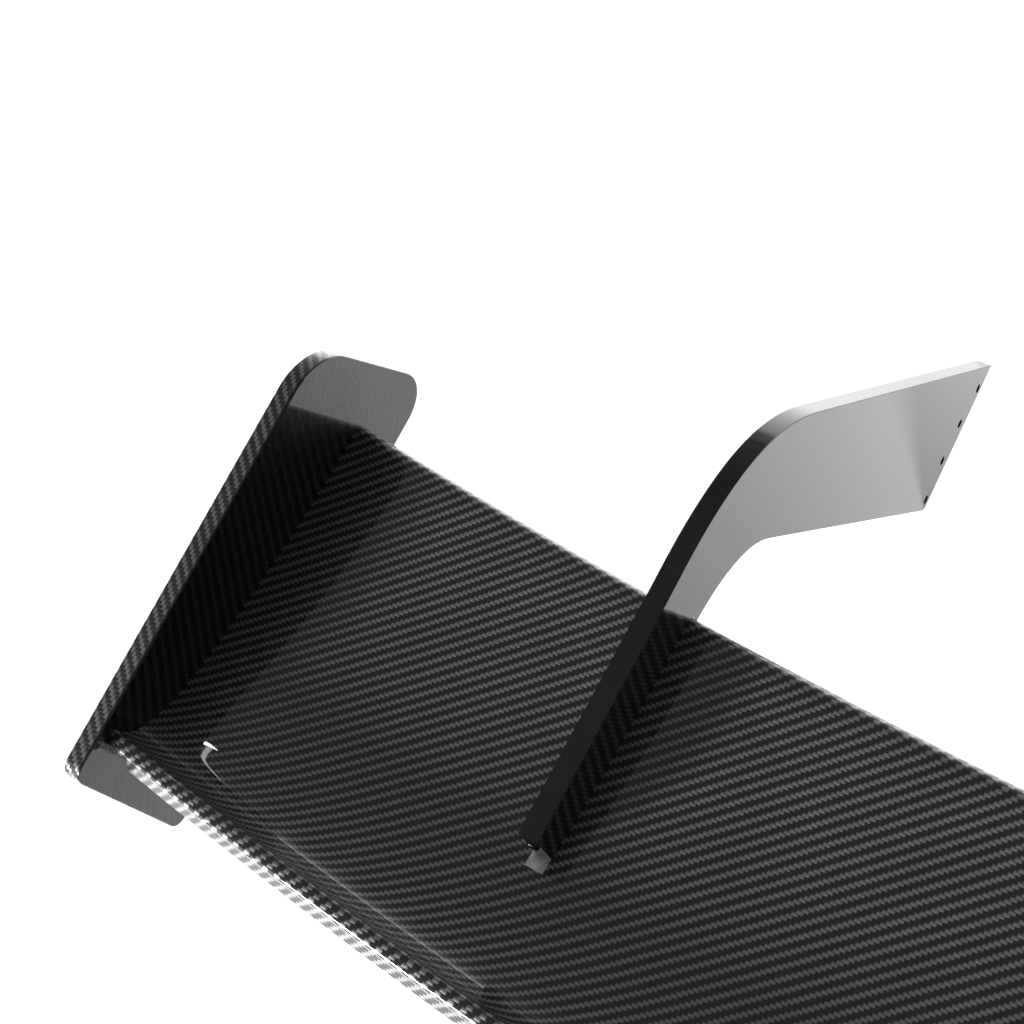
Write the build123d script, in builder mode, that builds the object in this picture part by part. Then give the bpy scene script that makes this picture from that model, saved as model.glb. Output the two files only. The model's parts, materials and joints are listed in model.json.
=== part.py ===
"""Racing rear wing on two swan-neck arms, in millimetres.

+X runs along the span, +Y points forward, +Z is up, and the origin lies midway
between the two arm feet, on the deck that they stand on.
Every side profile is drawn on a station plane, whose x axis runs forward along
the wing's chord and whose y axis is square to it: the wing is pitched on its feet.
"""
import os
from math import cos, radians, sin, sqrt

from build123d import *

# Layout
PITCH = 13.4                  # the chord axis points this far below the horizon, in degrees
DECK_TO_CHORD = 363.6         # height of the chord origin over the deck
FEET_AHEAD = 300.0            # the feet's middle is this far ahead of the chord origin
PLATE_X = 544.0               # inner face of an endplate
ARM_X = 307.5                 # middle of a swan-neck arm
TIP_SWEEP = 34.2              # the tips stand this far ahead of the middle of the wing

# Wing section, in chord coordinates
NOSE = (69.0, -1.5)           # centre of the nose radius
NOSE_R = 6.0
TOP_LOW = (-15.0, 0.4)        # lowest point of the hollow top side
BOTTOM_LOW = (-10.0, -26.0)   # lowest point of the underside
BEND_START = -100.0           # the hollow tightens behind this point
BEND_R = 115.0
LIP_START = -137.0            # and tightens again into the lip
LIP_R = 32.0
RIM_FRONT = (-155.0, 40.8)    # inner edge of the lip's rim
RIM_BACK = (-160.5, 40.2)
HEEL = (-162.4, 25.8)         # lower rear corner of the section
SKIN = 1.8
SKIN_SEAM = [                 # the upper skin is the shell above this line
    (90, -1.5), (55, -1.5), (0, -12), (-60, -10), (-100, -2.5),
    (-137, 11.9), (-143, 15.6), (-150, 21.5), (-156, 31), (-175, 31), (-175, 60), (90, 60),
]
STRIP_GAP = 12.0              # the strip stops this far from the endplates

# Endplate
PLATE_T = 12.0
PLATE_SKIN = 1.5
PLATE_CORNERS = [(115.2, 83.8), (167.6, -33.0), (-145.0, -71.9), (-154.1, 47.2)]
PLATE_RADII = [38.0, 22.0, 8.0, 10.0]

# Swan-neck arm
ARM_T = 12.0
ARM_BACK = -62.4              # rear end face of the arm
ARM_RISE = 34.0               # height of its top edge there
FOOT_FRONT = (433.0, -270.6)
FOOT_REAR = (319.3, -297.7)
SHOE_T = 2.0
SHOE_TAIL = 9.0

# Structure between the skins
TIP_RIB_T = 16.0
RIB_T = 4.0
BLOCK_W = 40.0                # mount block under each arm, along the span
BLOCK_SPAN = (-56.0, 31.8)
REAR_SPAR = (-84.0, -70.0)
FRONT_SPAR = (32.0, 46.0)
RIB_BAYS = [(-108.0, -84.2), (-69.8, 31.8), (46.2, 64.0)]

# Fasteners, metric
M6_R = 3.0
M6_CLEAR_R = 3.3
WASHER_R = 8.0
WASHER_T = 1.6
INSERT_R = 6.0
INSERT_LONG = 14.0
BUTTON_R = 5.25               # M6 button head
BUTTON_H = 3.3
SOCKET_R = 2.3
SOCKET_DEEP = 2.0
CAP_R = 5.0                   # M6 cap head
CAP_H = 6.0
SEAT_DEPTH = 6.8              # the arm screws' heads bear this far above the underside
SEAT_R = 8.5
THREAD_DEEP = 16.0
END_SCREW_R = 2.0             # M4 screw in the arm's rear end face
END_HEAD_R = 3.8
END_HEAD_H = 2.2
END_SCREW_DROP = 11.0         # below the arm's top edge
FOOT_HOLE_PITCH = 29.6
FOOT_HOLE_BACKSET = 7.1       # the hole row's middle lies this far behind the foot's middle
FOOT_HOLE_HEIGHTS = [7.5, 12.0, 12.0, 7.5]
ARM_SCREWS = [-40.0, -9.0, 22.0]
SEAT_GAP = 0.05               # left between the wing and what lies on it
PLATE_SCREWS = [-62.0, -12.0, 38.0]


def station(x):
    """Side plane at span position x: local x forward along the chord, local y up."""
    forward = (0, cos(radians(PITCH)), -sin(radians(PITCH)))
    return Plane(origin=(x, -FEET_AHEAD, DECK_TO_CHORD), x_dir=forward, z_dir=(1, 0, 0))


def up_plane(x, along, height):
    """Plane square to the chord's up direction at a chord position."""
    up = (0, sin(radians(PITCH)), cos(radians(PITCH)))
    return Plane(origin=station(x).from_local_coords((along, height, 0)), x_dir=(1, 0, 0), z_dir=up)


def sweep_at(x):
    """How far ahead of the middle the section stands at span position x."""
    return TIP_SWEEP * (x / PLATE_X) ** 2


# Radii that make the long curves tangent to the nose circle
top_run = NOSE[0] - TOP_LOW[0]
top_drop = TOP_LOW[1] - NOSE[1]
TOP_R = (top_run**2 + top_drop**2 - NOSE_R**2) / (2 * (NOSE_R - top_drop))
low_run = NOSE[0] - BOTTOM_LOW[0]
low_rise = NOSE[1] - BOTTOM_LOW[1]
BELLY_R = (low_run**2 + low_rise**2 - NOSE_R**2) / (2 * (low_rise - NOSE_R))
TAIL_R = ((HEEL[0] - BOTTOM_LOW[0]) ** 2 + (HEEL[1] - BOTTOM_LOW[1]) ** 2) / (2 * (HEEL[1] - BOTTOM_LOW[1]))


def nose_touch(low, radius, sign):
    """Point of the nose circle on the line to another arc's centre."""
    line = Vector(low[0] - NOSE[0], low[1] + radius - NOSE[1]).normalized() * NOSE_R * sign
    return (NOSE[0] + line.X, NOSE[1] + line.Y)


TOP_TOUCH = nose_touch(TOP_LOW, TOP_R, 1)
BELLY_TOUCH = nose_touch(BOTTOM_LOW, BELLY_R, -1)


def arc_height(low, radius, along):
    """Height of an arc that is level at its low point."""
    return low[1] + radius - sqrt(radius**2 - (along - low[0]) ** 2)


BEND_Z = arc_height(TOP_LOW, TOP_R, BEND_START)
bend_in = (TOP_LOW[0] - BEND_START) / TOP_R
bend_out = bend_in + (BEND_START - LIP_START) / BEND_R
LIP_Z = BEND_Z + BEND_R * (sqrt(1 - bend_in**2) - sqrt(1 - bend_out**2))
lip_mid = bend_out + 9.0 / LIP_R
LIP_MID = (LIP_START - 9.0, LIP_Z + LIP_R * (sqrt(1 - bend_out**2) - sqrt(1 - lip_mid**2)))
bend_mid = bend_in + 18.5 / BEND_R
BEND_MID = (BEND_START - 18.5, BEND_Z + BEND_R * (sqrt(1 - bend_in**2) - sqrt(1 - bend_mid**2)))


def top_height(along):
    """Height of the hollow top side ahead of the bend."""
    return arc_height(TOP_LOW, TOP_R, along)


def bottom_height(along):
    """Height of the underside."""
    radius = BELLY_R if along > BOTTOM_LOW[0] else TAIL_R
    return arc_height(BOTTOM_LOW, radius, along)


def wing_section(shift):
    """Whole wing section, moved forward by shift."""
    def at(point):
        return (point[0] + shift, point[1])
    with BuildSketch() as section:
        with BuildLine():
            ThreePointArc(at(TOP_TOUCH), at(TOP_LOW), at((BEND_START, BEND_Z)))
            ThreePointArc(at((BEND_START, BEND_Z)), at(BEND_MID), at((LIP_START, LIP_Z)))
            ThreePointArc(at((LIP_START, LIP_Z)), at(LIP_MID), at(RIM_FRONT))
            Line(at(RIM_FRONT), at(RIM_BACK))
            Line(at(RIM_BACK), at(HEEL))
            ThreePointArc(at(HEEL), at((-90, bottom_height(-90))), at(BOTTOM_LOW))
            ThreePointArc(at(BOTTOM_LOW), at((35, bottom_height(35))), at(BELLY_TOUCH))
            ThreePointArc(at(BELLY_TOUCH), at((NOSE[0] + NOSE_R, NOSE[1])), at(TOP_TOUCH))
        make_face()
    return section.sketch_local


def hollow_section(shift):
    """The hollow between the skins."""
    with BuildSketch() as section:
        add(wing_section(shift))
        offset(amount=-SKIN, kind=Kind.INTERSECTION, mode=Mode.REPLACE)
    return section.sketch_local


def hollow_slice(shift, start, end):
    """The part of the hollow between two chord positions."""
    with BuildSketch() as section:
        add(hollow_section(shift))
        with Locations(((start + end) / 2 + shift, 0)):
            Rectangle(end - start, 120, mode=Mode.INTERSECT)
    return section.sketch_local


def skin_section(shift, mode):
    """Upper skin with Mode.INTERSECT, lower skin with Mode.SUBTRACT."""
    with BuildSketch() as section:
        add(wing_section(shift))
        add(hollow_section(shift), mode=Mode.SUBTRACT)
        with BuildLine():
            Polyline([(u + shift, v) for u, v in SKIN_SEAM], close=True)
        make_face(mode=mode)
    return section.sketch_local


def screw_spots():
    """Endplate screw positions, halfway between the skins."""
    spots = []
    for along in PLATE_SCREWS:
        spots.append((along + TIP_SWEEP, (top_height(along) + bottom_height(along)) / 2))
    return spots


def plate_outline(inset):
    """Endplate outline with its four rounded corners."""
    with BuildSketch() as outline:
        Polygon(*PLATE_CORNERS, align=None)
        for corner, radius in zip(PLATE_CORNERS, PLATE_RADII):
            fillet(outline.vertices().sort_by_distance(Vector(*corner))[0], radius=radius)
        if inset:
            offset(amount=-inset, mode=Mode.REPLACE)
    return outline.sketch_local


def arm_outline():
    """Side profile of a swan-neck arm, from the wing's back to the foot."""
    clear = SHOE_T + SEAT_GAP
    clear_r = NOSE_R + clear
    nose = (NOSE[0] + ARM_SWEEP, NOSE[1])
    lift = clear_r / NOSE_R
    over_nose = (nose[0] + (TOP_TOUCH[0] - NOSE[0]) * lift, nose[1] + (TOP_TOUCH[1] - NOSE[1]) * lift)
    round_nose = (nose[0] + clear_r * cos(radians(40)), nose[1] + clear_r * sin(radians(40)))
    foot_line = (FOOT_FRONT[0] - 228.8, FOOT_FRONT[1] + 5.0)
    rear_line = (FOOT_REAR[0] - 169.0, FOOT_REAR[1] + 53.4)
    heel = (ARM_BACK, top_height(ARM_BACK - ARM_SWEEP) + clear)
    with BuildSketch() as outline:
        with BuildLine():
            ThreePointArc(heel, (TOP_LOW[0] + ARM_SWEEP, TOP_LOW[1] + clear), over_nose)
            ThreePointArc(over_nose, round_nose, (nose[0] + clear_r, nose[1]))
            Line((nose[0] + clear_r, nose[1]), (nose[0] + clear_r, -4.2))
            Spline(
                (nose[0] + clear_r, -4.2), (116, -6.9), (143, -19.8), (169, -53.4),
                tangents=[(1, 0), rear_line],
            )
            Line((169, -53.4), FOOT_REAR)
            Line(FOOT_REAR, FOOT_FRONT)
            Line(FOOT_FRONT, (228.8, -5))
            Spline(
                (228.8, -5), (193, 30), (155, 47.5), (118, 52), (60, 46.5),
                tangents=[(-foot_line[0], -foot_line[1]), (-1, -0.1)],
            )
            Line((60, 46.5), (ARM_BACK, ARM_RISE))
            Line((ARM_BACK, ARM_RISE), heel)
        make_face()
        fillet(outline.vertices().sort_by_distance(Vector(*FOOT_REAR))[0], radius=3)
    return outline.sketch_local


def foot_hole_spots():
    """The four holes over the foot's edge, the middle two standing higher."""
    edge = (Vector(*FOOT_FRONT) - Vector(*FOOT_REAR)).normalized()
    middle = (Vector(*FOOT_FRONT) + Vector(*FOOT_REAR)) / 2
    spots = []
    for index, height in enumerate(FOOT_HOLE_HEIGHTS):
        along = (index - 1.5) * FOOT_HOLE_PITCH - FOOT_HOLE_BACKSET
        spot = middle + edge * along + Vector(-edge.Y, edge.X) * height
        spots.append((spot.X, spot.Y))
    return spots


ARM_SWEEP = sweep_at(ARM_X)
FULL_SPAN = [PLATE_X * step / 3 for step in range(-3, 4)]
SIDES = {"left": -1, "right": 1}


def finish(piece, name):
    """Label one sub-part and write its STEP file."""
    piece.part.label = name
    export_step(piece.part, f"parts/{name}.step")


os.makedirs("parts", exist_ok=True)

# Cutters for the screw holes under both arms
with BuildPart() as arm_screw_holes:
    for side in SIDES.values():
        for along in ARM_SCREWS:
            with BuildSketch(up_plane(side * ARM_X, along + ARM_SWEEP, -60)):
                Circle(M6_CLEAR_R)
            extrude(amount=66)
            with BuildSketch(up_plane(side * ARM_X, along + ARM_SWEEP, -60)):
                Circle(SEAT_R)
            extrude(amount=60 + bottom_height(along) + SEAT_DEPTH)

# Skins
with BuildPart() as upper_skin:
    for x in FULL_SPAN:
        with BuildSketch(station(x)):
            add(skin_section(sweep_at(x), Mode.INTERSECT))
    loft()
    add(arm_screw_holes.part, mode=Mode.SUBTRACT)
finish(upper_skin, "upper_skin")

with BuildPart() as lower_skin:
    for x in FULL_SPAN:
        with BuildSketch(station(x)):
            add(skin_section(sweep_at(x), Mode.SUBTRACT))
    loft()
    add(arm_screw_holes.part, mode=Mode.SUBTRACT)
finish(lower_skin, "lower_skin")

# Strip along the back of the lip
with BuildPart() as lip_strip:
    strip_end = PLATE_X - STRIP_GAP
    for x in [strip_end * step / 3 for step in range(-3, 4)]:
        with BuildSketch(station(x)):
            with Locations((sweep_at(x), 0)):
                Polygon((-160.8, 38.6), (-166.6, 29.6), (-166.2, 27.2), (-162.5, 26.4), align=None)
    loft()
finish(lip_strip, "lip_strip")

# Structure between the skins
for name, bay in [("front_spar", FRONT_SPAR), ("rear_spar", REAR_SPAR)]:
    with BuildPart() as spar:
        for x in [(PLATE_X - TIP_RIB_T) * step / 3 for step in range(-3, 4)]:
            with BuildSketch(station(x)):
                add(hollow_slice(sweep_at(x), *bay))
        loft()
    finish(spar, name)

for name, side in SIDES.items():
    with BuildPart() as tip_rib:
        for x in [side * (PLATE_X - TIP_RIB_T), side * PLATE_X]:
            with BuildSketch(station(x)):
                add(hollow_slice(sweep_at(x), -108, 66))
        loft()
        with BuildSketch(station(side * PLATE_X)):
            with Locations(*screw_spots()):
                Circle(INSERT_R)
        extrude(amount=-side * INSERT_LONG, mode=Mode.SUBTRACT)
    finish(tip_rib, f"tip_rib_{name}")

    with BuildPart() as tip_inserts:
        with BuildSketch(station(side * PLATE_X)):
            with Locations(*screw_spots()):
                Circle(INSERT_R)
                Circle(M6_R, mode=Mode.SUBTRACT)
        extrude(amount=-side * INSERT_LONG)
    finish(tip_inserts, f"tip_inserts_{name}")

    with BuildPart() as mount_block:
        for x in [side * (ARM_X - BLOCK_W / 2), side * (ARM_X + BLOCK_W / 2)]:
            with BuildSketch(station(x)):
                add(hollow_slice(sweep_at(x), *BLOCK_SPAN))
        loft()
        add(arm_screw_holes.part, mode=Mode.SUBTRACT)
    finish(mount_block, f"mount_block_{name}")

    with BuildPart() as mount_ribs:
        for inner in [ARM_X - BLOCK_W / 2 - RIB_T, ARM_X + BLOCK_W / 2]:
            for bay in RIB_BAYS:
                rib_sides = []
                for x in [side * inner, side * (inner + RIB_T)]:
                    with BuildSketch(station(x), mode=Mode.PRIVATE) as rib_side:
                        add(hollow_slice(sweep_at(x), *bay))
                    rib_sides.append(rib_side.sketch)
                loft(sections=rib_sides)
    finish(mount_ribs, f"mount_ribs_{name}")

with BuildPart() as centre_rib:
    with BuildSketch(station(-RIB_T / 2)):
        for bay in RIB_BAYS:
            add(hollow_slice(0, *bay))
    extrude(amount=RIB_T)
finish(centre_rib, "centre_rib")

# Endplates: an outer tray that wraps the rim, a foam core and an inner skin
for name, side in SIDES.items():
    with BuildPart() as inner_skin:
        with BuildSketch(station(side * PLATE_X)):
            add(plate_outline(0))
        extrude(amount=side * PLATE_SKIN)
        chamfer(inner_skin.faces().sort_by(Axis.X)[0 if side > 0 else -1].edges(), length=0.8)
        with BuildSketch(station(side * PLATE_X)):
            with Locations(*screw_spots()):
                Circle(M6_CLEAR_R)
        extrude(amount=side * PLATE_SKIN, mode=Mode.SUBTRACT)
    finish(inner_skin, f"endplate_inner_skin_{name}")

    with BuildPart() as core:
        with BuildSketch(station(side * (PLATE_X + PLATE_SKIN))):
            add(plate_outline(PLATE_SKIN))
            with Locations(*screw_spots()):
                Circle(M6_CLEAR_R, mode=Mode.SUBTRACT)
        extrude(amount=side * (PLATE_T - 2 * PLATE_SKIN))
    finish(core, f"endplate_core_{name}")

    with BuildPart() as outer_skin:
        with BuildSketch(station(side * (PLATE_X + PLATE_SKIN))):
            add(plate_outline(0))
        extrude(amount=side * (PLATE_T - PLATE_SKIN))
        fillet(outer_skin.faces().sort_by(Axis.X)[-1 if side > 0 else 0].edges(), radius=1.4)
        with BuildSketch(station(side * (PLATE_X + PLATE_SKIN))):
            add(plate_outline(PLATE_SKIN))
        extrude(amount=side * (PLATE_T - 2 * PLATE_SKIN), mode=Mode.SUBTRACT)
        with BuildSketch(station(side * (PLATE_X + PLATE_T))):
            with Locations(*screw_spots()):
                Circle(M6_CLEAR_R)
        extrude(amount=-side * 2 * PLATE_SKIN, mode=Mode.SUBTRACT)
    finish(outer_skin, f"endplate_outer_skin_{name}")

    with BuildPart() as plate_washers:
        with BuildSketch(station(side * (PLATE_X + PLATE_T))):
            with Locations(*screw_spots()):
                Circle(WASHER_R)
                Circle(M6_CLEAR_R, mode=Mode.SUBTRACT)
        extrude(amount=side * WASHER_T)
    finish(plate_washers, f"endplate_washers_{name}")

    head_x = side * (PLATE_X + PLATE_T + WASHER_T)
    with BuildPart() as plate_screws:
        with BuildSketch(station(head_x)):
            with Locations(*screw_spots()):
                Circle(M6_R)
        extrude(amount=-side * (PLATE_T + WASHER_T + INSERT_LONG - 1))
        with BuildSketch(station(head_x)):
            with Locations(*screw_spots()):
                Circle(BUTTON_R)
        extrude(amount=side * BUTTON_H)
        crowns = plate_screws.faces().group_by(Axis.X)[-1 if side > 0 else 0]
        fillet(crowns.edges(), radius=2.2)
        with BuildSketch(station(head_x + side * BUTTON_H)):
            with Locations(*screw_spots()):
                RegularPolygon(SOCKET_R, 6)
        extrude(amount=-side * SOCKET_DEEP, mode=Mode.SUBTRACT)
    finish(plate_screws, f"endplate_screws_{name}")

# Swan-neck arms, their shoes and their fasteners
for name, side in SIDES.items():
    arm_x = side * ARM_X
    end_spot = (ARM_BACK, ARM_RISE - END_SCREW_DROP)
    end_plane = Plane(
        origin=station(arm_x).from_local_coords((*end_spot, 0)),
        x_dir=(1, 0, 0),
        z_dir=-station(arm_x).x_dir,
    )

    with BuildPart() as arm:
        with BuildSketch(station(arm_x)):
            add(arm_outline())
        extrude(amount=ARM_T / 2, both=True)
        chamfer(arm.faces().filter_by(Axis.X).edges(), length=0.5)
        with BuildSketch(station(arm_x)):
            with Locations(*foot_hole_spots()):
                Circle(M6_CLEAR_R)
        extrude(amount=ARM_T, both=True, mode=Mode.SUBTRACT)
        for along in ARM_SCREWS:
            with BuildSketch(up_plane(arm_x, along + ARM_SWEEP, 0)):
                Circle(M6_R)
            extrude(amount=top_height(along) + SHOE_T + THREAD_DEEP, mode=Mode.SUBTRACT)
        with BuildSketch(end_plane):
            Circle(END_SCREW_R)
        extrude(amount=-12, mode=Mode.SUBTRACT)
    finish(arm, f"swan_neck_{name}")

    with BuildPart() as shoe:
        with BuildSketch(station(arm_x)):
            tail = ARM_BACK - ARM_SWEEP - SHOE_TAIL
            with BuildLine():
                for lift in [SEAT_GAP, SHOE_T]:
                    ThreePointArc(
                        (tail + ARM_SWEEP, top_height(tail) + lift),
                        (TOP_LOW[0] + ARM_SWEEP, TOP_LOW[1] + lift),
                        (60 + ARM_SWEEP, top_height(60) + lift),
                    )
                for along in [tail, 60]:
                    u = along + ARM_SWEEP
                    Line((u, top_height(along) + SEAT_GAP), (u, top_height(along) + SHOE_T))
            make_face()
        extrude(amount=ARM_T / 2 - 0.5, both=True)
        for along in ARM_SCREWS:
            with BuildSketch(up_plane(arm_x, along + ARM_SWEEP, -10)):
                Circle(M6_CLEAR_R)
            extrude(amount=20, mode=Mode.SUBTRACT)
    finish(shoe, f"arm_shoe_{name}")

    with BuildPart() as arm_screws:
        for along in ARM_SCREWS:
            seat = bottom_height(along) + SEAT_DEPTH - WASHER_T
            with BuildSketch(up_plane(arm_x, along + ARM_SWEEP, seat)):
                Circle(M6_R)
            extrude(amount=top_height(along) + SHOE_T + THREAD_DEEP - 2 - seat)
            with BuildSketch(up_plane(arm_x, along + ARM_SWEEP, seat - CAP_H)):
                Circle(CAP_R)
            extrude(amount=CAP_H)
            with BuildSketch(up_plane(arm_x, along + ARM_SWEEP, seat - CAP_H)):
                RegularPolygon(SOCKET_R, 6)
            extrude(amount=SOCKET_DEEP, mode=Mode.SUBTRACT)
    finish(arm_screws, f"arm_screws_{name}")

    with BuildPart() as arm_washers:
        for along in ARM_SCREWS:
            seat = bottom_height(along) + SEAT_DEPTH
            with BuildSketch(up_plane(arm_x, along + ARM_SWEEP, seat - WASHER_T)):
                Circle(WASHER_R)
                Circle(M6_CLEAR_R, mode=Mode.SUBTRACT)
            extrude(amount=WASHER_T)
    finish(arm_washers, f"arm_screw_washers_{name}")

    with BuildPart() as end_screw:
        with BuildSketch(end_plane):
            Circle(END_SCREW_R)
        extrude(amount=-11)
        with BuildSketch(end_plane):
            Circle(END_HEAD_R)
        extrude(amount=END_HEAD_H)
        fillet(end_screw.faces().sort_by(Axis(end_plane.origin, end_plane.z_dir))[-1].edges(), radius=1.4)
        with BuildSketch(end_plane.offset(END_HEAD_H)):
            RegularPolygon(1.5, 6)
        extrude(amount=-1.3, mode=Mode.SUBTRACT)
    finish(end_screw, f"arm_end_screw_{name}")
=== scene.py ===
"""Looks for the swan-neck rear wing: lacquered twill skins, gloss black arms and plain steel screws."""
import json
from math import pi, radians, sqrt, tan

import bmesh
import bpy
from mathutils import Matrix, Vector


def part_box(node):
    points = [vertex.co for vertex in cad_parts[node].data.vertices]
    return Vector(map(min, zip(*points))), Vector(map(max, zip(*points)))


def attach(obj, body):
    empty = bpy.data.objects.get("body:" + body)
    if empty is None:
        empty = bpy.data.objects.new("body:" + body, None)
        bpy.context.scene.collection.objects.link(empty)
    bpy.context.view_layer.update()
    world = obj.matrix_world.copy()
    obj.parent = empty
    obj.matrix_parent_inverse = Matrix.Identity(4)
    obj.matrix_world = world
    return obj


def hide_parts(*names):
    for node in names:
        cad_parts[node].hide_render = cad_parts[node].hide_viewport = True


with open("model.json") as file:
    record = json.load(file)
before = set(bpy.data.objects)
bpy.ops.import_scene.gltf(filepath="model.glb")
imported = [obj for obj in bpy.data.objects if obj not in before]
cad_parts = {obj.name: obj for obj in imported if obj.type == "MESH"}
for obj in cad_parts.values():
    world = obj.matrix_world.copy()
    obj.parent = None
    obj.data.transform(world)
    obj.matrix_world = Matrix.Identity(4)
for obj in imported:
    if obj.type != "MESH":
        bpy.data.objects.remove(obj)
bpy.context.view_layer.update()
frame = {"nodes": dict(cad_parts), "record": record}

bl_info = {
    "name": "Swan-neck rear wing",
    "version": (1, 0, 0),
    "blender": (4, 5, 0),
    "location": "3D View > Sidebar > Wing",
    "description": "Builds the visible pieces of a racing rear wing around its CAD frame",
    "category": "Object",
}

MM = 0.001
BODY = "root"
SIDES = {"left": -1, "right": 1}

# Chord axes: u forward along the chord, v square to it, both in millimetres
PITCH = radians(13.4)
CHORD_ORIGIN = Vector((0, -300 * MM, 363.6 * MM))
TO_ROW = Matrix.Translation(CHORD_ORIGIN) @ Matrix.Rotation(-PITCH, 4, "X")

# Wing section, in chord coordinates
NOSE = (69.0, -1.5)
NOSE_R = 6.0
TOP_LOW = (-15.0, 0.4)
BOTTOM_LOW = (-10.0, -26.0)
BEND_START = -100.0
BEND_R = 115.0
BEND_HALF = 18.5
LIP_START = -137.0
LIP_R = 32.0
LIP_HALF = 9.0
BELLY_MID = 35.0
TAIL_MID = -90.0
RIM_FRONT = (-155.0, 40.8)
RIM_BACK = (-160.5, 40.2)
HEEL = (-162.4, 25.8)
SEAM_HEIGHT = 31.0
STRIP = [(-160.8, 38.6), (-166.6, 29.6), (-166.2, 27.2), (-162.5, 26.4)]
PLATE_CORNERS = [(115.2, 83.8), (167.6, -33.0), (-145.0, -71.9), (-154.1, 47.2)]
PLATE_RADII = [38.0, 22.0, 8.0, 10.0]
TIP_SWEEP = 34.2
ARM_SCREWS = [-40.0, -9.0, 22.0]
ARM_X = 307.5
SEAT_R = 8.5
SEAT_MIDDLE = -22  # height of a seat drill's middle, square to the chord
SPAN_STEPS = 96
FLAT_SIDE = 0.9995  # faces turned this far to the side are shaded flat
TOW_RISE = 0.12 * MM
FILAMENT_RISE = 0.09 * MM

# Stage
CLOTH_ROUGHNESS = (0.44, 0.52)
LACQUER_ROUGHNESS = 0.015
LACQUER_IOR = 1.5
FLOOR_HALF = 8
FLOOR_ROUGHNESS = 0.5
FLOOR_VARY = 0.97  # how dark the floor's darkest smudge is
HORIZON_FADE = (-0.05, 0.6)  # height in the sky over which the room turns from low to high
HORIZON_SHARE = 1.6  # brightness at the horizon over the one overhead
EYE = (0.0112, -0.2604, 1.2317)
EYE_RIGHT = (0.8179, 0.4354, -0.3763)
EYE_BACK = (0.4425, -0.0580, 0.8949)
EYE_LENS = 61.3
LIGHT_AIM = (-0.35, -0.3, 0.38)
# Painted light in the floor's glow: the dim patch behind the left of the wing is a painted shadow, and
# the bright glow round the wing, fading to a dimmer floor far off, is a painted pool of light
FLOOR_PAINTED_LIGHT_RINGS = (  # middle, reach of the change, glow inside and outside; None keeps what was there
    ((-0.5, -0.8, 0), (0.55, 1.05), (0.09, 0.088, 0.09), None),
    ((-0.2, 0.0, 0), (1.15, 2.2), None, (0.2, 0.195, 0.2)),
)
LIGHTS = {  # place, width and height, power, the way its height runs
    "rear_softbox": ((-1.43, -2.20, 1.62), (0.5, 0.5), 115.0, (0, 0, 1)),
    "front_head": ((-1.06, 0.52, 0.96), (0.014, 0.04), 0.06, (0, 0, 1)),
    "front_pole": ((-1.0025, 0.605, 0.703), (0.006, 0.524), 0.06, (-0.105, -0.164, 0.486)),
}

PLATE_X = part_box("endplate_inner_skin_right")[0].x
PLATE_SEAM_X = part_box("endplate_inner_skin_right")[1].x
PLATE_OUT_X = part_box("endplate_outer_skin_right")[1].x
STRIP_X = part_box("lip_strip")[1].x


class WING_PG_sizes(bpy.types.PropertyGroup):
    """Sizes that shape the visible pieces."""

    skin: bpy.props.FloatProperty(
        name="Skin thickness", description="Wall of the two wing skins", default=1.8 * MM, unit="LENGTH"
    )
    rim_round: bpy.props.FloatProperty(
        name="Rim rounding", description="Rounding of the raised lip's edges",
        default=0.9 * MM, unit="LENGTH",
    )
    plate_round: bpy.props.FloatProperty(
        name="Endplate rounding", description="Rounding around an endplate's outer rim",
        default=1.4 * MM, unit="LENGTH",
    )
    plate_break: bpy.props.FloatProperty(
        name="Endplate inner edge", description="Broken edge on the inner face",
        default=0.8 * MM, unit="LENGTH",
    )
    strip_round: bpy.props.FloatProperty(
        name="Strip end rounding", description="Rounding of the strip's ends",
        default=1.6 * MM, unit="LENGTH",
    )
    tow: bpy.props.FloatProperty(
        name="Tow width", description="Width of one tow of the twill", default=2.0 * MM, unit="LENGTH"
    )


class WING_PG_colours(bpy.types.PropertyGroup):
    """Colours of the finishes, and the strength of the light."""

    # Painted sheen: the upper tows are coloured lighter than the crossing tows, standing in for the
    # sheen of the fibres
    tow_sheen_painted: bpy.props.FloatVectorProperty(
        name="Tows toward the light", description="Tows that catch the light", subtype="COLOR", size=3,
        default=(0.270, 0.261, 0.249), min=0, max=1,
    )
    tow_dark: bpy.props.FloatVectorProperty(
        name="Tows away from the light", description="Crossing tows", subtype="COLOR", size=3,
        default=(0.036, 0.0355, 0.036), min=0, max=1,
    )
    arm_black: bpy.props.FloatVectorProperty(
        name="Arm black", description="Lacquer of the swan-neck arms", subtype="COLOR", size=3,
        default=(0.006, 0.006, 0.0065), min=0, max=1,
    )
    floor_white: bpy.props.FloatVectorProperty(
        name="Floor", description="Pale studio floor", subtype="COLOR", size=3,
        default=(0.9, 0.9, 0.9), min=0, max=1,
    )
    room: bpy.props.FloatProperty(
        name="Room", description="Brightness of the room above the floor", default=0.22
    )
    floor_glow: bpy.props.FloatProperty(
        name="Floor glow", description="Light the floor gives off", default=2.05
    )
    light_share: bpy.props.FloatProperty(
        name="Lights", description="Share of full power of all lights", default=1.0
    )


def sizes():
    """The sizes that the operators use."""
    return bpy.context.scene.wing_sizes


def colours():
    """The colours that the operators use."""
    return bpy.context.scene.wing_colours


# Shapes


def sweep_at(x):
    """How far ahead of the middle the section stands at span position x, in metres."""
    return TIP_SWEEP * MM * (x / PLATE_X) ** 2


def point(at, x=0.0):
    """Chord coordinates in millimetres as a point of the side plane, in metres."""
    return Vector((x, at[0] * MM, at[1] * MM))


def arc_height(low, radius, along):
    """Height of an arc that is level at its low point."""
    return low[1] + radius - sqrt(radius**2 - (along - low[0]) ** 2)


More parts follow.
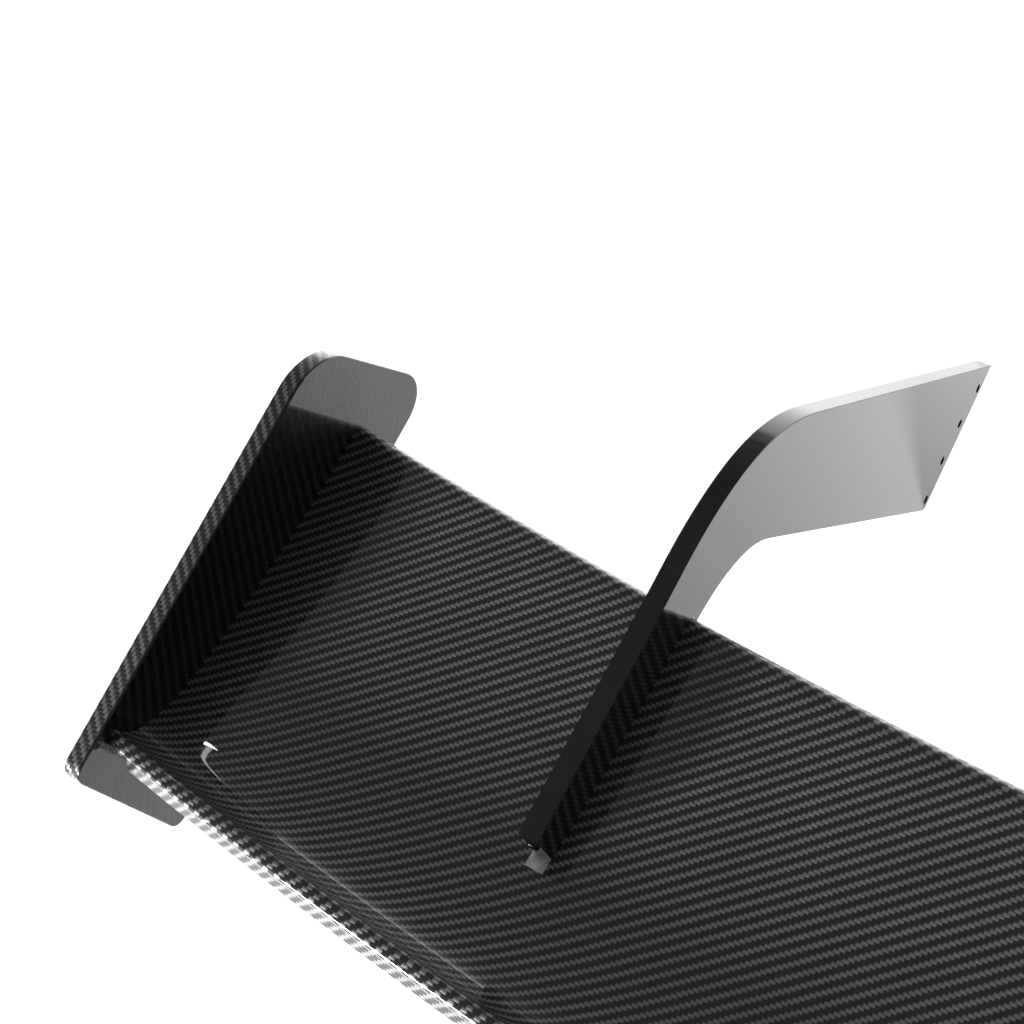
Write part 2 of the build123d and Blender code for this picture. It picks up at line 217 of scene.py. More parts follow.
def section_marks():
    """Points that the section's arcs run through."""
    top_run, top_drop = NOSE[0] - TOP_LOW[0], TOP_LOW[1] - NOSE[1]
    top_r = (top_run**2 + top_drop**2 - NOSE_R**2) / (2 * (NOSE_R - top_drop))
    low_run, low_rise = NOSE[0] - BOTTOM_LOW[0], NOSE[1] - BOTTOM_LOW[1]
    belly_r = (low_run**2 + low_rise**2 - NOSE_R**2) / (2 * (low_rise - NOSE_R))
    tail_run, tail_rise = HEEL[0] - BOTTOM_LOW[0], HEEL[1] - BOTTOM_LOW[1]
    tail_r = (tail_run**2 + tail_rise**2) / (2 * tail_rise)

    def touch(low, radius, sign):
        line = Vector((low[0] - NOSE[0], low[1] + radius - NOSE[1])).normalized() * NOSE_R * sign
        return (NOSE[0] + line.x, NOSE[1] + line.y)

    bend_z = arc_height(TOP_LOW, top_r, BEND_START)
    bend_in = (TOP_LOW[0] - BEND_START) / top_r
    bend_out = bend_in + (BEND_START - LIP_START) / BEND_R
    bend_mid = bend_in + BEND_HALF / BEND_R
    lip_mid = bend_out + LIP_HALF / LIP_R
    lip_z = bend_z + BEND_R * (sqrt(1 - bend_in**2) - sqrt(1 - bend_out**2))
    return {
        "top_touch": touch(TOP_LOW, top_r, 1),
        "belly_touch": touch(BOTTOM_LOW, belly_r, -1),
        "nose_front": (NOSE[0] + NOSE_R, NOSE[1]),
        "bend": (BEND_START, bend_z),
        "bend_mid": (
            BEND_START - BEND_HALF,
            bend_z + BEND_R * (sqrt(1 - bend_in**2) - sqrt(1 - bend_mid**2)),
        ),
        "lip": (LIP_START, lip_z),
        "lip_mid": (
            LIP_START - LIP_HALF,
            lip_z + LIP_R * (sqrt(1 - bend_out**2) - sqrt(1 - lip_mid**2)),
        ),
        "belly_mid": (BELLY_MID, arc_height(BOTTOM_LOW, belly_r, BELLY_MID)),
        "tail_mid": (TAIL_MID, arc_height(BOTTOM_LOW, tail_r, TAIL_MID)),
        "seam": (
            RIM_BACK[0]
            + (HEEL[0] - RIM_BACK[0]) * (RIM_BACK[1] - SEAM_HEIGHT) / (RIM_BACK[1] - HEEL[1]),
            SEAM_HEIGHT,
        ),
    }


def arc_to(bm, start, middle, end, steps):
    """Spins a vertex along the arc through middle to end, and gives back the last vertex."""
    a, b, c = start.co.copy(), point(middle), point(end)
    ab, ac = b - a, c - a
    normal = ab.cross(ac)
    centre = a + (normal.cross(ab) * ac.length_squared + ac.cross(normal) * ab.length_squared) / (
        2 * normal.length_squared
    )
    turn = (a - centre).angle(b - centre) + (b - centre).angle(c - centre)
    spun = bmesh.ops.spin(
        bm, geom=[start], cent=centre, axis=normal.normalized(), angle=turn, steps=steps
    )
    return spun["geom_last"][0]


def line_to(bm, start, end):
    """Extrudes a vertex in a straight line to end."""
    new = bmesh.ops.extrude_vert_indiv(bm, verts=[start])["verts"][0]
    new.co = point(end)
    return new


def new_profile():
    """An empty bmesh whose vertices can hold their distance along the cloth."""
    bm = bmesh.new()
    bm.verts.layers.float.new("girth")
    return bm


def measure_girth(bm, first):
    """Writes each vertex's distance along the open profile, for the cloth to follow."""
    girth = bm.verts.layers.float["girth"]
    seen, here, run = {first}, first, 0.0
    while here:
        here[girth] = run
        nxt = [e.other_vert(here) for e in here.link_edges if e.other_vert(here) not in seen]
        if nxt:
            run += (nxt[0].co - here.co).length
            seen.add(nxt[0])
        here = nxt[0] if nxt else None


def along_span(bm, half_span):
    """Draws the open profile out along the span."""
    bmesh.ops.translate(bm, verts=bm.verts[:], vec=(-half_span, 0, 0))
    step = Vector((2 * half_span / SPAN_STEPS, 0, 0))
    bmesh.ops.spin(
        bm, geom=bm.verts[:] + bm.edges[:], cent=(0, 0, 0), axis=(1, 0, 0),
        dvec=step, angle=0, steps=SPAN_STEPS,
    )
    bmesh.ops.remove_doubles(bm, verts=bm.verts[:], dist=1e-7)


def bend_to_sweep(bm):
    """Moves each station ahead by the plan curve."""
    for vert in bm.verts:
        vert.co.y += sweep_at(vert.co.x)


def long_edges_at(bm, spots):
    """Edges that run along the span through the given section points, before the sweep."""
    found = []
    for edge in bm.edges:
        a, b = edge.verts
        if abs(a.co.x - b.co.x) < 1e-6:
            continue
        for spot in spots:
            if (a.co.yz - point(spot).yz).length < 2e-5:
                found.append(edge)
    return found


def cloth_uv(bm, direction, sweep_share=0.55):
    """Lays the cloth: U along the span, V forward along the section, in metres."""
    uv = bm.loops.layers.uv.new("cloth")
    girth = bm.verts.layers.float["girth"]
    for face in bm.faces:
        for loop in face.loops:
            x = loop.vert.co.x
            loop[uv].uv = (x, direction * loop.vert[girth] + sweep_share * sweep_at(x))


def mark_edges(bm, limit):
    """Smooth faces, with the edges sharper than limit kept crisp."""
    for face in bm.faces:
        face.smooth = len(face.verts) <= 4 and abs(face.normal.x) < FLAT_SIDE
    for edge in bm.edges:
        edge.smooth = len(edge.link_faces) != 2 or edge.calc_face_angle(pi) < limit


def make_piece(bm, name, material, limit=radians(32)):
    """Turns a bmesh into a finished object at the origin that rides on the frame."""
    mark_edges(bm, limit)
    mesh = bpy.data.meshes.new(name)
    bm.to_mesh(mesh)
    bm.free()
    piece = bpy.data.objects.new(name, mesh)
    bpy.context.scene.collection.objects.link(piece)
    mesh.materials.append(material)
    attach(piece, BODY)
    return piece


def stand_for(piece, slot, *nodes):
    """The piece replaces its CAD nodes, which are hidden."""
    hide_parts(*nodes)
    return piece


def merged_copy(node):
    """A bmesh of a CAD node with its loose triangles joined."""
    bm = bmesh.new()
    bm.from_mesh(frame["nodes"][node].data)
    bmesh.ops.remove_doubles(bm, verts=bm.verts[:], dist=1e-6)
    return bm


def inner_wall(bm, thickness):
    """Gives an open skin its wall on the inside."""
    bmesh.ops.recalc_face_normals(bm, faces=bm.faces[:])
    bmesh.ops.solidify(bm, geom=bm.faces[:], thickness=thickness)
    bmesh.ops.recalc_face_normals(bm, faces=bm.faces[:])


def drill(piece, name, radius, lengthwise):
    """Cuts round holes up into a skin from below, square to the chord, under both arms."""
    cutter_bm = bmesh.new()
    for side in SIDES.values():
        sweep = sweep_at(ARM_X * MM) / MM
        for along in ARM_SCREWS:
            made = bmesh.ops.create_cone(
                cutter_bm, cap_ends=True, segments=48,
                radius1=radius * MM, radius2=radius * MM, depth=lengthwise * MM,
            )
            bmesh.ops.translate(
                cutter_bm, verts=made["verts"],
                vec=(side * ARM_X * MM, (along + sweep) * MM, SEAT_MIDDLE * MM),
            )
    bmesh.ops.transform(cutter_bm, matrix=TO_ROW, verts=cutter_bm.verts[:])
    mesh = bpy.data.meshes.new(name)
    cutter_bm.to_mesh(mesh)
    cutter_bm.free()
    cutter = bpy.data.objects.new(name, mesh)
    bpy.context.scene.collection.objects.link(cutter)
    cut = piece.modifiers.new("screw holes", "BOOLEAN")
    cut.operation = "DIFFERENCE"
    cut.solver = "EXACT"
    cut.object = cutter
    bpy.context.view_layer.objects.active = piece
    with bpy.context.temp_override(object=piece, active_object=piece, selected_objects=[piece]):
        bpy.ops.object.modifier_apply(modifier=cut.name)
    bpy.data.objects.remove(cutter)


# Materials


class Graph:
    """Short calls for making and wiring nodes."""

    def __init__(self, tree):
        self.tree = tree

    def add(self, kind, **settings):
        node = self.tree.nodes.new(kind)
        for key, value in settings.items():
            setattr(node, key, value)
        return node

    def link(self, source, target):
        self.tree.links.new(source, target)

    def math(self, operation, a, b=None):
        node = self.add("ShaderNodeMath", operation=operation)
        for socket, value in zip(node.inputs, (a, b)):
            if value is None:
                continue
            if isinstance(value, (int, float)):
                socket.default_value = value
            else:
                self.link(value, socket)
        return node.outputs[0]

    def mix(self, factor, a, b):
        node = self.add("ShaderNodeMix", data_type="RGBA")
        self.link(factor, node.inputs["Factor"])
        for name, value in (("A", a), ("B", b)):
            socket = [s for s in node.inputs if s.name == name and s.type == "RGBA"][0]
            if isinstance(value, bpy.types.NodeSocket):
                self.link(value, socket)
            else:
                socket.default_value = (*value, 1)
        return [s for s in node.outputs if s.type == "RGBA"][0]

    def noise(self, vector, scale, detail=2.0):
        node = self.add("ShaderNodeTexNoise")
        self.link(vector, node.inputs["Vector"])
        node.inputs["Scale"].default_value = scale
        node.inputs["Detail"].default_value = detail
        return node.outputs["Fac"]

    def scaled(self, vector, x, y, z):
        node = self.add("ShaderNodeMapping")
        self.link(vector, node.inputs["Vector"])
        node.inputs["Scale"].default_value = (x, y, z)
        return node.outputs["Vector"]


def new_group(name, inputs, outputs):
    """An empty shader group with named sockets, and its graph."""
    group = bpy.data.node_groups.new(name, "ShaderNodeTree")
    for label, kind, default in inputs:
        socket = group.interface.new_socket(label, in_out="INPUT", socket_type=kind)
        if default is not None:
            socket.default_value = default
    for label, kind in outputs:
        group.interface.new_socket(label, in_out="OUTPUT", socket_type=kind)
    graph = Graph(group)
    return group, graph, graph.add("NodeGroupInput"), graph.add("NodeGroupOutput")


def twill_group():
    """Two-over-two twill: which tow lies on top, with painted shade at its dips and edges, its crown and
    the grain of its filaments.
    """
    group = bpy.data.node_groups.get("twill")
    if group:
        return group
    group, g, inp, out = new_group(
        "twill",
        [("Cloth", "NodeSocketVector", None), ("Tow", "NodeSocketFloat", 0.002)],
        [("Float", "NodeSocketFloat"), ("Grain", "NodeSocketFloat"), ("Crown", "NodeSocketFloat")],
    )
    split = g.add("ShaderNodeSeparateXYZ")
    g.link(inp.outputs["Cloth"], split.inputs[0])
    across = g.math("DIVIDE", split.outputs["X"], inp.outputs["Tow"])
    along = g.math("DIVIDE", split.outputs["Y"], inp.outputs["Tow"])
    place = g.math("FLOORED_MODULO", g.math("SUBTRACT", across, g.math("FLOOR", along)), 4.0)
    span_up = g.math("LESS_THAN", place, 2.0)

    # A float on top shows for two tows and dips under at both ends; its colour is darkened toward those
    # ends and toward its edges, painted shade of the dips and of the rounded crown
    centred = g.math("SUBTRACT", place, 1.0)
    squared = g.math("MULTIPLY", centred, centred)
    painted_dip_shade = g.math("SUBTRACT", 1.0, g.math("MULTIPLY", squared, squared))

    def crown(value):
        off = g.math("SUBTRACT", g.math("FRACT", value), 0.5)
        return g.math("SUBTRACT", 1.0, g.math("MULTIPLY", g.math("MULTIPLY", off, off), 4.0))

    # Painted shade: the upper tow is coloured darker toward its edges, where its rounded crown turns
    # from the light
    seam = g.math("ADD", g.math("MULTIPLY", crown(along), 0.6), 0.4)
    g.link(g.math("MULTIPLY", g.math("MULTIPLY", span_up, painted_dip_shade), seam), out.inputs["Float"])

    def either(chordwise, spanwise):
        node = g.add("ShaderNodeMix", data_type="FLOAT")
        g.link(span_up, node.inputs["Factor"])
        g.link(chordwise, node.inputs["A"])
        g.link(spanwise, node.inputs["B"])
        return node.outputs[0]

    g.link(either(crown(across), crown(along)), out.inputs["Crown"])
    span_fibres = g.noise(g.scaled(inp.outputs["Cloth"], 250, 5200, 1), 1.0, 1.0)
    chord_fibres = g.noise(g.scaled(inp.outputs["Cloth"], 5200, 250, 1), 1.0, 1.0)
    g.link(either(chord_fibres, span_fibres), out.inputs["Grain"])
    return group


def smudge_group():
    """Slow unevenness of a lacquered or machined surface."""
    group = bpy.data.node_groups.get("smudge")
    if group:
        return group
    group, g, inp, out = new_group(
        "smudge",
        [
            ("Scale", "NodeSocketFloat", 20.0),
            ("Low", "NodeSocketFloat", 0.0),
            ("High", "NodeSocketFloat", 1.0),
        ],
        [("Value", "NodeSocketFloat")],
    )
    coords = g.add("ShaderNodeTexCoord")
    noise = g.add("ShaderNodeTexNoise")
    g.link(coords.outputs["Object"], noise.inputs["Vector"])
    g.link(inp.outputs["Scale"], noise.inputs["Scale"])
    noise.inputs["Detail"].default_value = 4.0
    spread = g.add("ShaderNodeMapRange")
    g.link(noise.outputs["Fac"], spread.inputs["Value"])
    spread.inputs["From Min"].default_value = 0.3
    spread.inputs["From Max"].default_value = 0.7
    g.link(inp.outputs["Low"], spread.inputs["To Min"])
    g.link(inp.outputs["High"], spread.inputs["To Max"])
    g.link(spread.outputs["Result"], out.inputs["Value"])
    return group


def new_material(name):
    """A new material with its graph and its shader."""
    material = bpy.data.materials.new(name)
    material.use_nodes = True
    graph = Graph(material.node_tree)
    return material, graph, material.node_tree.nodes["Principled BSDF"]


def smudged(graph, scale, low, high):
    """A placed smudge group with its own values."""
    node = graph.add("ShaderNodeGroup", node_tree=smudge_group())
    node.inputs["Scale"].default_value = scale
    node.inputs["Low"].default_value = low
    node.inputs["High"].default_value = high
    return node.outputs["Value"]


def twill_material(name="lacquered twill", share=1.0, relief=1.0):
    """Black twill under a clear lacquer, whose upper tows are painted lighter by share, a painted sheen,
    and stand up by relief; a small share also paints the crossing tows darker, as painted shade.
    """
    found = bpy.data.materials.get(name)
    if found:
        return found
    material, g, shader = new_material(name)
    cloth = g.add("ShaderNodeUVMap", uv_map="cloth")
    twill = g.add("ShaderNodeGroup", node_tree=twill_group())
    twill.inputs["Tow"].default_value = sizes().tow
    g.link(cloth.outputs["UV"], twill.inputs["Cloth"])
    # Painted sheen and shade: upper tows painted lighter by share; with a small share the crossing tows
    # are painted darker too
    low = tuple(c * min(1.0, 0.2 + share) for c in colours().tow_dark)
    painted_sheen = tuple(d + share * (l - d) for l, d in zip(colours().tow_sheen_painted, low))
    g.link(g.mix(twill.outputs["Float"], low, painted_sheen), shader.inputs["Base Color"])
    filaments = g.math("MULTIPLY", twill.outputs["Grain"], FILAMENT_RISE)
    height = g.math("ADD", g.math("MULTIPLY", twill.outputs["Crown"], TOW_RISE), filaments)
    bump = g.add("ShaderNodeBump")
    bump.inputs["Strength"].default_value = 1.0
    bump.inputs["Distance"].default_value = relief
    g.link(height, bump.inputs["Height"])
    g.link(bump.outputs["Normal"], shader.inputs["Normal"])
    g.link(smudged(g, 30.0, *CLOTH_ROUGHNESS), shader.inputs["Roughness"])
    shader.inputs["Metallic"].default_value = 1.0
    shader.inputs["Coat Weight"].default_value = 1.0
    shader.inputs["Coat Roughness"].default_value = LACQUER_ROUGHNESS
    shader.inputs["Coat IOR"].default_value = LACQUER_IOR
    return material


def plain_material(name, colour, metallic, rough, scale=60.0, coat=0.0, vary=0.25, bump_depth=0.0):
    """A painted, machined or moulded finish with slow unevenness in colour and gloss."""
    found = bpy.data.materials.get(name)
    if found:
        return found
    material, g, shader = new_material(name)
    low = tuple(c * (1 - vary) for c in colour)
    high = tuple(min(1.0, c * (1 + vary)) for c in colour)
    g.link(g.mix(smudged(g, scale, 0.0, 1.0), low, high), shader.inputs["Base Color"])
    g.link(smudged(g, scale * 1.7, rough[0], rough[1]), shader.inputs["Roughness"])
    shader.inputs["Metallic"].default_value = metallic
    shader.inputs["Coat Weight"].default_value = coat
    shader.inputs["Coat Roughness"].default_value = 0.03
    if bump_depth:
        bump = g.add("ShaderNodeBump")
        bump.inputs["Strength"].default_value = 0.3
        bump.inputs["Distance"].default_value = bump_depth
        g.link(smudged(g, scale * 20, 0.0, 1.0), bump.inputs["Height"])
        g.link(bump.outputs["Normal"], shader.inputs["Normal"])
    return material


def finish_of(slot):
    """The material for a slot of the record."""
    makers = {
        "carbon_twill": lambda: twill_material(),
        # The endplate faces take a shaded copy of the twill: its painted sheen cut to 0.03 and its
        # crossing tows painted darker
        "carbon_twill_face": lambda: twill_material("lacquered twill, sheen painted down", 0.03, 0.25),
        "carbon_structure": lambda: plain_material(
            "matt laminate", (0.03, 0.03, 0.03), 0, (0.55, 0.7), bump_depth=2e-5
        ),
        "foam_core": lambda: plain_material(
            "foam", (0.72, 0.64, 0.46), 0, (0.85, 0.95), 400, bump_depth=1e-4
        ),
        "gloss_black_plate": lambda: plain_material(
            "gloss black lacquer", tuple(colours().arm_black), 0, (0.035, 0.06), 14.0
        ),
        "black_steel": lambda: plain_material(
            "black oxide steel", (0.035, 0.035, 0.037), 1, (0.3, 0.42), 250
        ),
        "steel_washer": lambda: plain_material("washer steel", (0.5, 0.5, 0.51), 1, (0.28, 0.4), 250),
        "bare_aluminium": lambda: plain_material(
            "bare aluminium", (0.72, 0.72, 0.73), 1, (0.26, 0.4), 180
        ),
    }
    return makers[slot]()


# Operators


class WING_OT_skins(bpy.types.Operator):
    """Makes the upper and lower skins as smooth closed shells"""

    bl_idname = "wing.skins"
    bl_label = "Wing skins"

    def execute(self, context):
        mark = section_marks()
        top = new_profile()
        first = top.verts.new(point(mark["nose_front"]))
        last = arc_to(top, first, self.on_nose(mark), mark["top_touch"], 10)
        last = arc_to(top, last, TOP_LOW, mark["bend"], 36)
        last = arc_to(top, last, mark["bend_mid"], mark["lip"], 14)
        last = arc_to(top, last, mark["lip_mid"], RIM_FRONT, 18)
        last = line_to(top, last, RIM_BACK)
        line_to(top, last, mark["seam"])
        self.shell(top, first, -1, [RIM_FRONT, RIM_BACK], "wing_upper_skin", "upper_skin")

        low = new_profile()
        first = low.verts.new(point(mark["seam"]))
        last = line_to(low, first, HEEL)
        last = arc_to(low, last, mark["tail_mid"], BOTTOM_LOW, 28)
        last = arc_to(low, last, mark["belly_mid"], mark["belly_touch"], 16)
        arc_to(low, last, self.under_nose(mark), mark["nose_front"], 10)
        piece = self.shell(low, first, 1, [HEEL], "wing_lower_skin", "lower_skin")
        drill(piece, "screw_cutters", SEAT_R, 16)
        return {"FINISHED"}

    @staticmethod
    def halfway(a, b):
        middle = Vector(((a[0] + b[0]) / 2 - NOSE[0], (a[1] + b[1]) / 2 - NOSE[1])).normalized() * NOSE_R
        return (NOSE[0] + middle.x, NOSE[1] + middle.y)

    def on_nose(self, mark):
        return self.halfway(mark["nose_front"], mark["top_touch"])

    def under_nose(self, mark):
        return self.halfway(mark["nose_front"], mark["belly_touch"])

    @staticmethod
    def shell(bm, first, direction, corners, name, node):
        measure_girth(bm, first)
        along_span(bm, PLATE_X)
        bmesh.ops.bevel(
            bm, geom=long_edges_at(bm, corners), offset=sizes().rim_round, offset_type="OFFSET",
            affect="EDGES", segments=4, profile=0.5, material=-1,
        )
        inner_wall(bm, -sizes().skin)
        bend_to_sweep(bm)
        cloth_uv(bm, direction)
        bmesh.ops.transform(bm, matrix=TO_ROW, verts=bm.verts[:])
        return stand_for(make_piece(bm, name, finish_of("carbon_twill")), "carbon_twill", node)


class WING_OT_strip(bpy.types.Operator):
    """Makes the narrow strip behind the raised lip, with rounded ends"""

    bl_idname = "wing.strip"
    bl_label = "Lip strip"

    def execute(self, context):
        bm = new_profile()
        girth = bm.verts.layers.float["girth"]
        corners = [bm.verts.new(point(p)) for p in STRIP]
        face = bm.faces.new(corners)
        run = 0.0
        for here, ahead in zip(corners, corners[1:] + corners[:1]):
            here[girth] = run
            run += (ahead.co - here.co).length
        bmesh.ops.translate(bm, verts=bm.verts[:], vec=(-STRIP_X, 0, 0))
        step = 2 * STRIP_X / SPAN_STEPS
        for index in range(SPAN_STEPS):
            grown = bmesh.ops.extrude_face_region(bm, geom=[face])
            new_verts = [g for g in grown["geom"] if isinstance(g, bmesh.types.BMVert)]
            new_face = [g for g in grown["geom"] if isinstance(g, bmesh.types.BMFace)][0]
            bmesh.ops.translate(bm, verts=new_verts, vec=(step, 0, 0))
            if index:
                bmesh.ops.delete(bm, geom=[face], context="FACES_ONLY")
            face = new_face
        bmesh.ops.recalc_face_normals(bm, faces=bm.faces[:])
        ends = [e for e in bm.edges if all(abs(abs(v.co.x) - STRIP_X) < 1e-6 for v in e.verts)]
        bmesh.ops.bevel(
            bm, geom=ends, offset=sizes().strip_round, offset_type="OFFSET",
            affect="EDGES", segments=4, profile=0.5, material=-1,
        )
        bend_to_sweep(bm)
        cloth_uv(bm, -1)
        bmesh.ops.transform(bm, matrix=TO_ROW, verts=bm.verts[:])
        piece = make_piece(bm, "wing_lip_strip", finish_of("carbon_twill"))
        stand_for(piece, "carbon_twill", "lip_strip")
        return {"FINISHED"}


class WING_OT_endplates(bpy.types.Operator):
    """Makes each endplate's inner skin and the outer tray that wraps its rim"""

    bl_idname = "wing.endplates"
    bl_label = "Endplates"

    def execute(self, context):
        for name, side in SIDES.items():
            inner = self.slab(side, PLATE_X, PLATE_SEAM_X, sizes().plate_break, 2, at_start=True)
            piece = make_piece(inner, f"plate_face_{name}", finish_of("carbon_twill_face"))
            stand_for(piece, "carbon_twill", f"endplate_inner_skin_{name}")
            outer = self.slab(side, PLATE_SEAM_X, PLATE_OUT_X, sizes().plate_round, 5, at_start=False)
            piece = make_piece(outer, f"plate_tray_{name}", finish_of("carbon_twill"))
            stand_for(piece, "carbon_twill", f"endplate_outer_skin_{name}", f"endplate_core_{name}")
        return {"FINISHED"}

    @staticmethod
    def slab(side, start, end, edge, segments, at_start):
        bm = new_profile()
        verts = [bm.verts.new(point(p, side * start)) for p in PLATE_CORNERS]
        bm.faces.new(verts)
        for index, radius in enumerate(PLATE_RADII):
            here = Vector(PLATE_CORNERS[index])
            before = Vector(PLATE_CORNERS[index - 1]) - here
            after = Vector(PLATE_CORNERS[(index + 1) % 4]) - here
            bmesh.ops.bevel(
                bm, geom=[verts[index]], offset=radius * MM / tan(before.angle(after) / 2),
                offset_type="OFFSET", affect="VERTICES", segments=20, profile=0.5, material=-1,
            )
        face = bm.faces[:][0]
        girth = bm.verts.layers.float["girth"]
        run = 0.0
        for loop in face.loops:
            loop.vert[girth] = run
            run += (loop.link_loop_next.vert.co - loop.vert.co).length
        grown = bmesh.ops.extrude_face_region(bm, geom=[face])
        far = [g for g in grown["geom"] if isinstance(g, bmesh.types.BMVert)]
        bmesh.ops.translate(bm, verts=far, vec=(side * (end - start), 0, 0))
        bmesh.ops.recalc_face_normals(bm, faces=bm.faces[:])
        edge_x = side * (start if at_start else end)
        rim = [e for e in bm.edges if all(abs(v.co.x - edge_x) < 1e-6 for v in e.verts)]
        bmesh.ops.bevel(
            bm, geom=rim, offset=edge, offset_type="OFFSET",
            affect="EDGES", segments=segments, profile=0.5, material=-1,
        )
        uv = bm.loops.layers.uv.new("cloth")
        for face in bm.faces:
            flat = abs(face.normal.x) > 0.7
            for loop in face.loops:
                co = loop.vert.co
                loop[uv].uv = (co.y, co.z) if flat else (loop.vert[girth], abs(co.x))
            spread = [loop[uv].uv.x for loop in face.loops]
            if not flat and max(spread) - min(spread) > run / 2:
                for loop in face.loops:
                    if loop[uv].uv.x < run / 2:
                        loop[uv].uv.x += run
        bmesh.ops.transform(bm, matrix=TO_ROW, verts=bm.verts[:])
        return bm


class WING_OT_arms(bpy.types.Operator):
    """Makes the swan-neck arms and their shoes with smooth running edges"""

    bl_idname = "wing.arms"
    bl_label = "Swan-neck arms"

    def execute(self, context):
        for name in SIDES:
            for node, slot in (
                (f"swan_neck_{name}", "gloss_black_plate"),
                (f"arm_shoe_{name}", "bare_aluminium"),
            ):
                piece = make_piece(merged_copy(node), f"{node}_finished", finish_of(slot), radians(28))
                stand_for(piece, slot, node)
        return {"FINISHED"}


class WING_OT_fasteners(bpy.types.Operator):
    """Makes the screws, washers and threaded inserts with smooth crowns"""

    bl_idname = "wing.fasteners"
    bl_label = "Fasteners"

    def execute(self, context):
        for name in SIDES:
            kinds = {
                f"endplate_screws_{name}": "black_steel",
                f"endplate_washers_{name}": "steel_washer",
                f"arm_screws_{name}": "black_steel",
                f"arm_screw_washers_{name}": "steel_washer",
                f"arm_end_screw_{name}": "black_steel",
                f"tip_inserts_{name}": "bare_aluminium",
            }
            for node, slot in kinds.items():
                piece = make_piece(merged_copy(node), f"{node}_finished", finish_of(slot), radians(30))
                stand_for(piece, slot, node)
        return {"FINISHED"}


class WING_OT_structure(bpy.types.Operator):
    """Gives the hidden spars, ribs, blocks and cores their finishes"""

    bl_idname = "wing.structure"
    bl_label = "Inner structure"

    def execute(self, context):
        slots = {s["node"]: s["material_slot"] for s in frame["record"]["subparts"]}
        for name, node in frame["nodes"].items():
            node.data.materials.clear()
            slot = slots[name]
            if slot == "carbon_twill":
                node.data.materials.append(finish_of("carbon_structure"))
            else:
                node.data.materials.append(finish_of(slot))
        return {"FINISHED"}


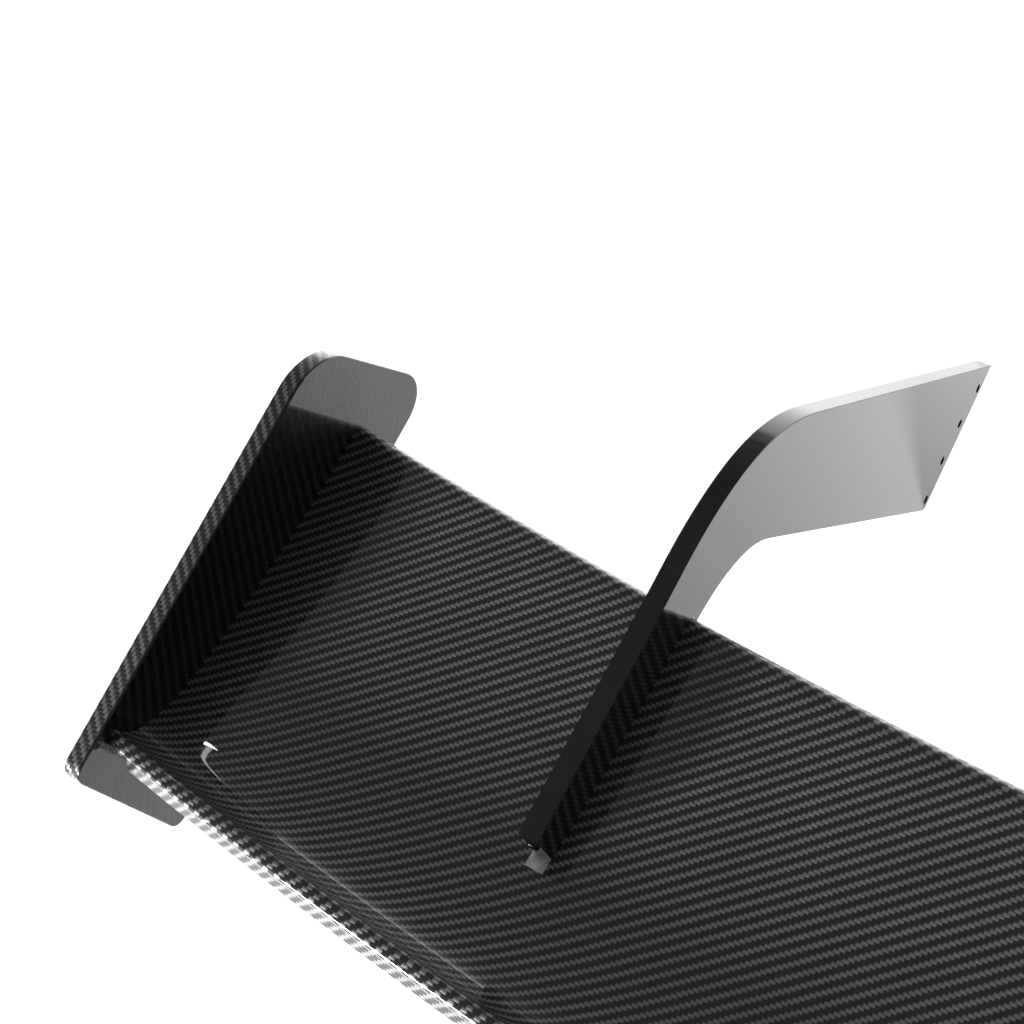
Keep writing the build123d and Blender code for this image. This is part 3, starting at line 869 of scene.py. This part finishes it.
class WING_OT_stage(bpy.types.Operator):
    """Sets the pale floor, whose glow holds a painted shadow and a painted pool of light, the soft
    studio light and the camera
    """

    bl_idname = "wing.stage"
    bl_label = "Stage"

    def execute(self, context):
        bm = bmesh.new()
        bmesh.ops.create_grid(bm, x_segments=1, y_segments=1, size=FLOOR_HALF)
        mesh = bpy.data.meshes.new("floor")
        bm.to_mesh(mesh)
        bm.free()
        floor = bpy.data.objects.new("floor", mesh)
        context.scene.collection.objects.link(floor)
        material, g, shader = new_material("pale floor")
        white = tuple(colours().floor_white)
        dim = tuple(c * FLOOR_VARY for c in white)
        g.link(g.mix(smudged(g, 3.0, 0.0, 1.0), dim, white), shader.inputs["Base Color"])
        shader.inputs["Roughness"].default_value = FLOOR_ROUGHNESS
        place = g.add("ShaderNodeTexCoord")
        glow = (1, 0.975, 1)
        # The rings paint a shadow behind the wing and a pool of light around it into the floor's glow
        for spot, (start, end), before, after in FLOOR_PAINTED_LIGHT_RINGS:
            away = g.add("ShaderNodeVectorMath", operation="DISTANCE")
            g.link(place.outputs["Object"], away.inputs[0])
            away.inputs[1].default_value = spot
            ring = g.add("ShaderNodeMapRange", interpolation_type="SMOOTHSTEP")
            g.link(away.outputs["Value"], ring.inputs["Value"])
            ring.inputs["From Min"].default_value = start
            ring.inputs["From Max"].default_value = end
            glow = g.mix(ring.outputs["Result"], before or glow, after or glow)
        g.link(glow, shader.inputs["Emission Color"])
        shader.inputs["Emission Strength"].default_value = colours().floor_glow
        mesh.materials.append(material)

        world = bpy.data.worlds.new("studio")
        context.scene.world = world
        world.use_nodes = True
        w = Graph(world.node_tree)
        coords = w.add("ShaderNodeTexCoord")
        split = w.add("ShaderNodeSeparateXYZ")
        w.link(coords.outputs["Generated"], split.inputs[0])
        fade = w.add("ShaderNodeMapRange", interpolation_type="SMOOTHSTEP")
        w.link(split.outputs["Z"], fade.inputs["Value"])
        fade.inputs["From Min"].default_value, fade.inputs["From Max"].default_value = HORIZON_FADE
        fade.inputs["To Min"].default_value = colours().room * HORIZON_SHARE
        fade.inputs["To Max"].default_value = colours().room
        back = world.node_tree.nodes["Background"]
        back.inputs["Color"].default_value = (1, 1, 1, 1)
        w.link(fade.outputs["Result"], back.inputs["Strength"])
        for name, (spot, size, power, run) in LIGHTS.items():
            light = bpy.data.lights.new(name, "AREA")
            light.shape = "RECTANGLE"
            light.size, light.size_y = size
            light.energy = power * colours().light_share
            lamp = bpy.data.objects.new(name, light)
            face = (Vector(spot) - Vector(LIGHT_AIM)).normalized()
            side = Vector(run).cross(face).normalized()
            turn = Matrix((side, face.cross(side), face)).transposed().to_4x4()
            lamp.matrix_world = Matrix.Translation(spot) @ turn
            lamp.visible_camera = False
            context.scene.collection.objects.link(lamp)

        camera = bpy.data.cameras.new("camera")
        camera.lens = EYE_LENS
        camera.sensor_width = 36
        camera.clip_start = 0.01
        eye = bpy.data.objects.new("camera", camera)
        right = Vector(EYE_RIGHT).normalized()
        back_axis = Vector(EYE_BACK).normalized()
        up = back_axis.cross(right).normalized()
        right = up.cross(back_axis)
        turn = Matrix((right, up, back_axis)).transposed().to_4x4()
        eye.matrix_world = Matrix.Translation(EYE) @ turn
        context.scene.collection.objects.link(eye)
        context.scene.camera = eye
        context.scene.view_settings.view_transform = "Standard"
        return {"FINISHED"}


class WING_PT_panel(bpy.types.Panel):
    """Lists the operators and their settings"""

    bl_idname = "WING_PT_panel"
    bl_label = "Rear wing"
    bl_space_type = "VIEW_3D"
    bl_region_type = "UI"
    bl_category = "Wing"

    def draw(self, context):
        for step in STEPS:
            self.layout.operator(step.bl_idname)
        for group in (context.scene.wing_sizes, context.scene.wing_colours):
            for key in group.__annotations__:
                self.layout.prop(group, key)


STEPS = [
    WING_OT_structure,
    WING_OT_skins,
    WING_OT_strip,
    WING_OT_endplates,
    WING_OT_arms,
    WING_OT_fasteners,
    WING_OT_stage,
]
CLASSES = [WING_PG_sizes, WING_PG_colours, *STEPS, WING_PT_panel]


def register():
    """Adds the classes and the settings to Blender."""
    for cls in CLASSES:
        bpy.utils.register_class(cls)
    bpy.types.Scene.wing_sizes = bpy.props.PointerProperty(type=WING_PG_sizes)
    bpy.types.Scene.wing_colours = bpy.props.PointerProperty(type=WING_PG_colours)


def unregister():
    """Takes them away again."""
    del bpy.types.Scene.wing_colours
    del bpy.types.Scene.wing_sizes
    for cls in reversed(CLASSES):
        bpy.utils.unregister_class(cls)


def main():
    """Builds every piece in order."""
    register()
    for step in STEPS:
        group, call = step.bl_idname.split(".")
        getattr(getattr(bpy.ops, group), call)()


if __name__ == "__main__":
    main()
